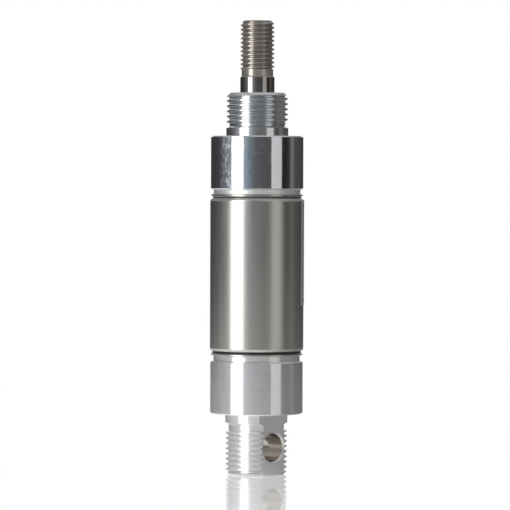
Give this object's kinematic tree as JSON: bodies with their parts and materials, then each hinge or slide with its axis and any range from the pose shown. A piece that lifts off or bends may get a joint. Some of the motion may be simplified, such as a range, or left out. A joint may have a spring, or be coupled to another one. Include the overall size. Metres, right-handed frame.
{
  "type": "pneumatic cylinder",
  "caption": "Slim round air cylinder with a smooth metal barrel, threaded nose, threaded piston rod and a flattened threaded rear stub with a pivot hole.",
  "frame": {"origin": "centre of the flat end face of the rear stub, on the cylinder's axis, where it stands upright", "axes": "+Z along the cylinder's axis towards the rod end, +X along the rear pivot hole, +Y towards both ports"},
  "size_m": [0.0272, 0.0273, 0.1315],
  "materials": {
    "stainless_tube": "fine turned, semi-matt stainless steel",
    "front_cap_alloy": "bright turned aluminium",
    "rear_cap_alloy": "bright turned aluminium",
    "rod_steel": "ground and rolled stainless steel",
    "label_film": "satin silver film",
    "black_rubber": "matt",
    "seal_polyurethane": "satin",
    "bumper_plastic": "satin",
    "guide_plastic": "satin",
    "sintered_bronze": "oily sintered bronze",
    "piston_alloy": "turned",
    "magnet_ferrite": "matt bonded ferrite",
    "zinc_steel": "bright zinc plate"
  },
  "bodies": {
    "cylinder_body": {"barrel_tube": "stainless_tube", "rear_cap": "rear_cap_alloy", "front_cap": "front_cap_alloy", "barrel_label": "label_film", "rear_cap_o_ring": "black_rubber", "front_cap_o_ring": "black_rubber", "rear_bumper": "bumper_plastic", "front_bumper": "bumper_plastic", "rod_seal_washer": "zinc_steel", "rod_seal": "seal_polyurethane", "rod_bush": "sintered_bronze", "rod_wiper": "seal_polyurethane"},
    "piston_seals": {"rear_piston_seal": "seal_polyurethane", "front_piston_seal": "seal_polyurethane", "piston_guide_ring": "guide_plastic"},
    "rod": {"piston_rod": "rod_steel", "piston_front_half": "piston_alloy", "piston_rear_half": "piston_alloy", "piston_magnet": "magnet_ferrite", "piston_o_ring": "black_rubber", "piston_washer": "zinc_steel", "piston_nut": "zinc_steel"}
  },
  "joints": [
    {"name": "rod_slide", "type": "slide", "parent": "cylinder_body", "child": "piston_seals", "axis": [0, 0, 1], "range_m": [0, 0.02]},
    {"name": "rod_turn", "type": "hinge", "parent": "piston_seals", "child": "rod", "pos_m": [0, 0, 0.06], "axis": [0, 0, 1], "continuous": true}
  ]
}
